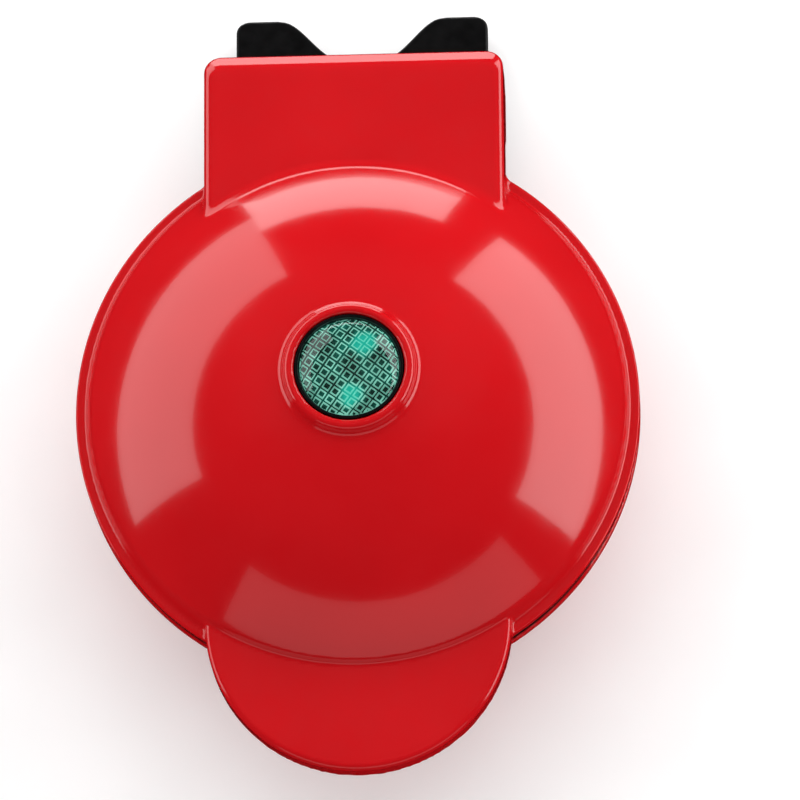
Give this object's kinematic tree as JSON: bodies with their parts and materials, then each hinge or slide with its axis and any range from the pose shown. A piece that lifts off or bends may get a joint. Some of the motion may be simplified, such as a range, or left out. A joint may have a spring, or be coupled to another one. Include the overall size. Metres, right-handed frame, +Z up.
{
  "type": "waffle maker",
  "caption": "Compact round waffle maker: glossy red domed lid with a green indicator lens, hinged on a bowl-shaped base, with two non-stick grid plates inside.",
  "frame": {"origin": "under the middle of the whole appliance, on the surface it stands on", "axes": "+Z up, +Y towards the hinge and the rear stand, -Y towards the lid's handle, +X to the right seen from the handle"},
  "size_m": [0.127, 0.1872, 0.075],
  "materials": {
    "red_gloss": "high gloss",
    "black_phenolic": "fine satin grain",
    "non_stick_aluminium": "speckled non-stick coating",
    "plated_steel": "zinc plated",
    "green_lens": "transparent, facets moulded inside",
    "white_nylon": "moulded",
    "lamp_glass": "clear",
    "ceramic": "unglazed ceramic",
    "black_rubber": "matte",
    "woven_sleeve": "woven glass-fibre sleeve"
  },
  "bodies": {
    "base": {"base_cover": "red_gloss", "base_frame": "black_phenolic", "lower_plate": "non_stick_aluminium", "lower_heating_element": "plated_steel", "lower_heat_shield": "plated_steel", "lower_plate_screw_1": "plated_steel", "lower_plate_screw_2": "plated_steel", "lower_plate_screw_3": "plated_steel", "lower_plate_screw_4": "plated_steel", "lower_shield_screw_1": "plated_steel", "lower_shield_screw_2": "plated_steel", "thermal_fuse": "white_nylon", "fuse_clip": "plated_steel", "terminal_block": "ceramic", "cord_gland": "black_rubber", "rear_stand": "black_phenolic", "hinge_lead_lower": "woven_sleeve", "foot_1": "black_rubber", "foot_2": "black_rubber", "foot_3": "black_rubber", "foot_4": "black_rubber", "base_screw_1": "plated_steel", "base_screw_2": "plated_steel", "stand_screw_1": "plated_steel", "stand_screw_2": "plated_steel", "clip_screw_1": "plated_steel", "clip_screw_2": "plated_steel", "hinge_pin_left": "plated_steel", "hinge_pin_right": "plated_steel"},
    "lid": {"lid_cover": "red_gloss", "lid_frame": "black_phenolic", "upper_plate": "non_stick_aluminium", "upper_heating_element": "plated_steel", "upper_heat_shield": "plated_steel", "upper_plate_screw_1": "plated_steel", "upper_plate_screw_2": "plated_steel", "upper_plate_screw_3": "plated_steel", "upper_plate_screw_4": "plated_steel", "upper_shield_screw_1": "plated_steel", "upper_shield_screw_2": "plated_steel", "thermostat": "ceramic", "lens_bezel": "black_phenolic", "indicator_lens": "green_lens", "lamp_holder": "white_nylon", "power_lamp": "lamp_glass", "ready_lamp": "lamp_glass", "hinge_lead_upper": "woven_sleeve", "handle_screw_1": "plated_steel", "handle_screw_2": "plated_steel", "arm_screw_1": "plated_steel", "arm_screw_2": "plated_steel", "holder_screw_1": "plated_steel", "holder_screw_2": "plated_steel"}
  },
  "joints": [
    {"name": "lid_hinge", "type": "hinge", "parent": "base", "child": "lid", "pos_m": [0, 0.0611, 0.036], "axis": [-1, 0, 0], "range_deg": [0, 100]}
  ]
}
